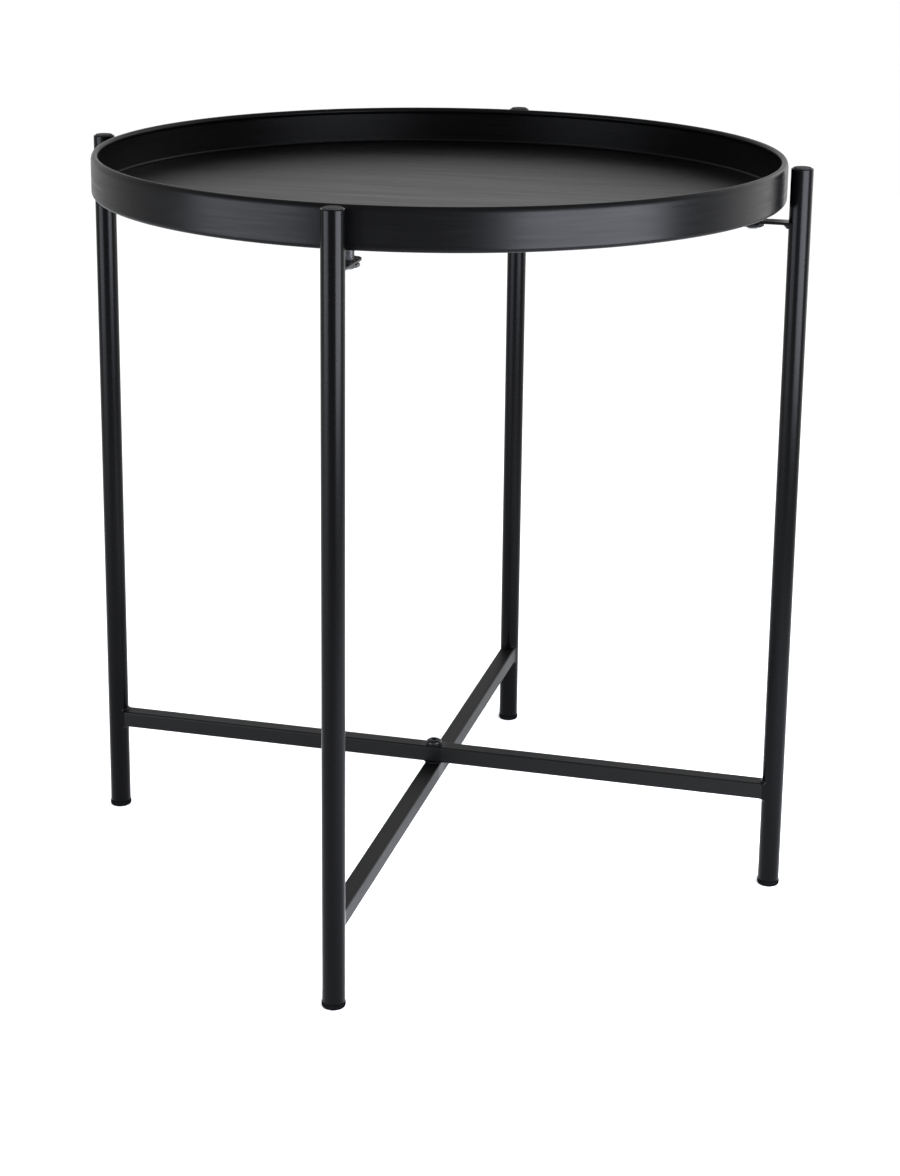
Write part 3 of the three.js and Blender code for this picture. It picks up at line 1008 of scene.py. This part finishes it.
class TRAYTABLE_OT_tab_welds(bpy.types.Operator):
    """Model the weld beads under the tabs, against the legs"""

    bl_idname = "tray_table.tab_welds"
    bl_label = "Tab welds"

    def execute(self, context):
        settings = context.scene.tray_table
        low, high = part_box("tray_tab_right")
        leg = centre_of("leg_right")
        leg_low, leg_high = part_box("leg_right")
        radius = (leg_high.x - leg_low.x) / 2
        face = leg.x - radius
        half = (high.y - low.y) / 2 - 0.4 * MM
        top = low.z + 0.2 * MM
        drop = 3.4 * MM
        reach = 4.4 * MM
        stations = 14
        narrowing = 0.55
        low_corner = Vector((face - reach, -half, top - drop))
        weld = start_block("tab_weld", low_corner, Vector((face + 0.5 * MM, half, top)))

        def outer_bottom(part):
            ends = [point.co for point in part.verts]
            under = max(end.z for end in ends) < top - drop / 2
            return under and max(end.x for end in ends) < face - reach / 2

        pick(weld, "EDGE", outer_bottom)
        bpy.ops.mesh.bevel(offset=3.1 * MM, segments=8, profile=0.22, affect="EDGES")
        for station in range(1, stations):
            bpy.ops.mesh.select_all(action="SELECT")
            cut = -half + 2 * half * station / stations
            bpy.ops.mesh.bisect(plane_co=(0, cut, 0), plane_no=(0, 1, 0))
        close_skin()
        corner = Vector((face, 0, top))
        for point in weld.data.vertices:
            taper = max(1 - abs(point.co.y / half) ** 3 * narrowing, 0)
            if point.co.x < corner.x:
                point.co.x = corner.x + (point.co.x - corner.x) * taper
            point.co.z = corner.z + (point.co.z - corner.z) * taper
        seat_on_leg(weld, leg, radius, settings.frames.weld_ripple, 2.7)
        polish(weld)
        fit_to_legs(weld, "tab_weld", "frame_steel", frame_finish(settings))
        return {"FINISHED"}


class TRAYTABLE_OT_pivot_bolt(bpy.types.Operator):
    """Model the button-head pivot bolt with its hexagon socket and threaded end"""

    bl_idname = "tray_table.pivot_bolt"
    bl_label = "Pivot bolt"

    def execute(self, context):
        settings = context.scene.tray_table
        sizes = settings.fasteners
        low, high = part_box("pivot_bolt")
        axis = Vector((0, 0, 0))
        washer_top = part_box("pivot_washer_top")[1].z
        under_head = washer_top + sizes.clearance
        thread_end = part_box("pivot_insert")[1].z
        chamfer = 0.5 * MM
        shank = sizes.bolt_diameter / 2
        head = (high.x - low.x) / 2
        head_height = high.z - under_head
        flat = sizes.socket_flats / 2 + 0.9 * MM
        lip = head_height / 5
        edge = 0.15 * MM
        dome = []
        dome_steps = 10
        for step in range(dome_steps + 1):
            angle = TURN / 4 * step / dome_steps
            rise = (head_height - lip) * math.sin(angle)
            dome.append((flat + (head - flat) * math.cos(angle), under_head + lip + rise))
        profile = [
            *threaded_rod_profile(shank, sizes.bolt_pitch, low.z, thread_end, chamfer)[:-1],
            (shank, under_head),
            *arc(head - edge, under_head + edge, edge, -90, 0, 3),
            *dome,
        ]
        bolt = turned("pivot_screw", axis, profile, WASHER_SIDES)
        cut_thread(bolt, axis, shank, sizes.bolt_pitch, low.z, thread_end, chamfer)
        clear_bench()
        bpy.ops.mesh.primitive_cylinder_add(
            vertices=6,
            radius=sizes.socket_flats / math.sqrt(3),
            depth=2 * sizes.socket_depth,
            location=(0, 0, high.z),
            rotation=(0, 0, TURN / 4),
        )
        combine(bolt, bpy.context.active_object, "DIFFERENCE")
        mouth = [
            (sizes.socket_flats / 2 * 0.98, high.z - 0.25 * MM),
            (sizes.socket_flats / math.sqrt(3) * 1.08, high.z + 0.1 * MM),
        ]
        combine(bolt, turned("mouth", axis, mouth, WASHER_SIDES), "DIFFERENCE")
        polish(bolt)
        fit(bolt, "frame_a", "black_fastener", dark_fastener_finish(settings), "pivot_bolt")
        return {"FINISHED"}


class TRAYTABLE_OT_pivot_washer(bpy.types.Operator):
    """Model the thin washer under the bolt head"""

    bl_idname = "tray_table.pivot_washer"
    bl_label = "Pivot washer"

    def execute(self, context):
        settings = context.scene.tray_table
        bore = settings.fasteners.bolt_diameter / 2 + settings.fasteners.clearance
        ring = washer("washer_top", "pivot_washer_top", bore, 0.2 * MM)
        fit(ring, "frame_a", "black_fastener", dark_fastener_finish(settings), "pivot_washer_top")
        return {"FINISHED"}


class TRAYTABLE_OT_pivot_spacer(bpy.types.Operator):
    """Model the plastic disc between the crossbars"""

    bl_idname = "tray_table.pivot_spacer"
    bl_label = "Pivot spacer"

    def execute(self, context):
        settings = context.scene.tray_table
        bore = settings.fasteners.bolt_diameter / 2 + settings.fasteners.clearance
        disc = washer("spacer_disc", "pivot_spacer", bore, 0.25 * MM)
        colour = settings.finishes.foot_colour
        finish = finish_named(
            "spacer_moulding", moulded_plastic, colour, PLUG_ROUGHNESS, FOOT_GLOSS, NO_SCUFFS
        )
        fit(disc, "frame_a", "spacer_plastic", finish, "pivot_spacer")
        return {"FINISHED"}


class TRAYTABLE_OT_pivot_insert(bpy.types.Operator):
    """Model the threaded insert set in the lower crossbar"""

    bl_idname = "tray_table.pivot_insert"
    bl_label = "Pivot insert"

    def execute(self, context):
        settings = context.scene.tray_table
        bore = settings.fasteners.bolt_diameter / 2 + settings.fasteners.clearance
        sleeve = washer("thread_insert", "pivot_insert", bore, 0.2 * MM)
        fit(sleeve, "frame_b", "zinc", zinc_finish(settings), "pivot_insert")
        return {"FINISHED"}


# ---------------------------------------------------------------- studio


def add_light(name, place, size, strength, colour):
    """A soft rectangular light that faces the table and stays out of the picture."""
    clear_bench()
    direction = (Vector(LIGHT_AIM) - Vector(place)).to_track_quat("-Z", "Y")
    bpy.ops.object.light_add(type="AREA", location=place, rotation=direction.to_euler())
    light = bpy.context.active_object
    light.name = name
    light.visible_camera = False
    light.data.shape = "RECTANGLE"
    light.data.size, light.data.size_y = size
    light.data.energy = strength
    light.data.color = colour


def add_camera(studio):
    """The camera, from its place, its turn round the table, its dip and its roll."""
    turn, dip, roll = (math.radians(angle) for angle in CAMERA_ANGLES)
    back = Vector((math.sin(turn) * math.cos(dip), -math.cos(turn) * math.cos(dip), math.sin(dip)))
    level = Vector((math.cos(turn), math.sin(turn), 0))
    upright = back.cross(level)
    right = math.cos(roll) * level + math.sin(roll) * upright
    up = math.cos(roll) * upright - math.sin(roll) * level
    rotation = Matrix((right, up, back)).transposed()
    clear_bench()
    bpy.ops.object.camera_add(location=CAMERA_PLACE, rotation=rotation.to_euler())
    camera = bpy.context.active_object
    camera.name = "studio_camera"
    camera.data.lens = studio.lens
    camera.data.sensor_width = SENSOR_WIDTH
    camera.data.shift_y = CAMERA_SHIFT
    camera.data.dof.use_dof = False
    bpy.context.scene.camera = camera


class TRAYTABLE_OT_stage(bpy.types.Operator):
    """Set up the plain pale floor, the white surroundings, the soft lights and the camera"""

    bl_idname = "tray_table.stage"
    bl_label = "Stage"

    def execute(self, context):
        settings = context.scene.tray_table
        studio = settings.studio
        clear_bench()
        bpy.ops.mesh.primitive_plane_add(size=FLOOR_SIZE, location=(0, 0, FLOOR_HEIGHT))
        floor = context.active_object
        floor.name = "studio_floor"
        recipe = Recipe("pale_floor")
        mottle = recipe.cloud((3, 3, 3), detail=3)
        colour = tuple(studio.floor_colour)
        recipe.set(
            Base_Color=recipe.tint(mottle, shade(colour, 0.985), colour),
            Roughness=0.8 + mottle * 0.1,
            Specular_IOR_Level=FLOOR_GLOSS,
        )
        floor.data.materials.append(recipe.material)
        world = bpy.data.worlds.new("studio_surround")
        world.use_nodes = True
        background = world.node_tree.nodes["Background"]
        background.inputs["Color"].default_value = (1.0, 1.0, 1.0, 1.0)
        background.inputs["Strength"].default_value = studio.surround
        context.scene.world = world
        context.scene.view_settings.view_transform = "Standard"
        cool = studio.light_colour
        add_light("light_left", (-1.24, -1.31, 0.42), (1.3, 0.76), studio.left_power, cool)
        add_light("light_right", (0.7, -0.46, 0.42), (0.72, 0.42), studio.right_power, cool)
        add_light("light_back", (1.29, 1.26, 0.8), (1.6, 1.8), studio.back_power, (1, 1, 1))
        add_camera(studio)
        return {"FINISHED"}


# ---------------------------------------------------------------- add-on

PIECE_OPERATORS = (
    TRAYTABLE_OT_tray,
    TRAYTABLE_OT_legs,
    TRAYTABLE_OT_top_plugs,
    TRAYTABLE_OT_foot_glides,
    TRAYTABLE_OT_tray_tabs,
    TRAYTABLE_OT_tray_studs,
    TRAYTABLE_OT_stud_nuts,
    TRAYTABLE_OT_crossbars,
    TRAYTABLE_OT_bar_welds,
    TRAYTABLE_OT_tab_welds,
    TRAYTABLE_OT_pivot_bolt,
    TRAYTABLE_OT_pivot_washer,
    TRAYTABLE_OT_pivot_spacer,
    TRAYTABLE_OT_pivot_insert,
    TRAYTABLE_OT_stage,
)


class TRAYTABLE_PT_panel(bpy.types.Panel):
    """Sidebar panel with the table's settings and its build steps"""

    bl_idname = "TRAYTABLE_PT_panel"
    bl_label = "Tray Table"
    bl_space_type = "VIEW_3D"
    bl_region_type = "UI"
    bl_category = "Tray Table"

    def draw(self, context):
        layout = self.layout
        settings = context.scene.tray_table
        for group in (
            settings.tray,
            settings.frames,
            settings.plugs,
            settings.fasteners,
            settings.finishes,
            settings.studio,
        ):
            box = layout.box()
            for name in group.__annotations__:
                box.prop(group, name)
        for operator in PIECE_OPERATORS:
            layout.operator(operator.bl_idname)


CLASSES = (
    TrayTableTray,
    TrayTableFrames,
    TrayTablePlugs,
    TrayTableFasteners,
    TrayTableFinishes,
    TrayTableStudio,
    TrayTableSettings,
    *PIECE_OPERATORS,
    TRAYTABLE_PT_panel,
)


def register():
    for kind in CLASSES:
        bpy.utils.register_class(kind)
    bpy.types.Scene.tray_table = bpy.props.PointerProperty(type=TrayTableSettings)


def unregister():
    del bpy.types.Scene.tray_table
    for kind in reversed(CLASSES):
        bpy.utils.unregister_class(kind)


def main():
    register()
    for operator in PIECE_OPERATORS:
        name = operator.bl_idname.split(".")[1]
        getattr(bpy.ops.tray_table, name)()


if __name__ == "__main__":
    main()
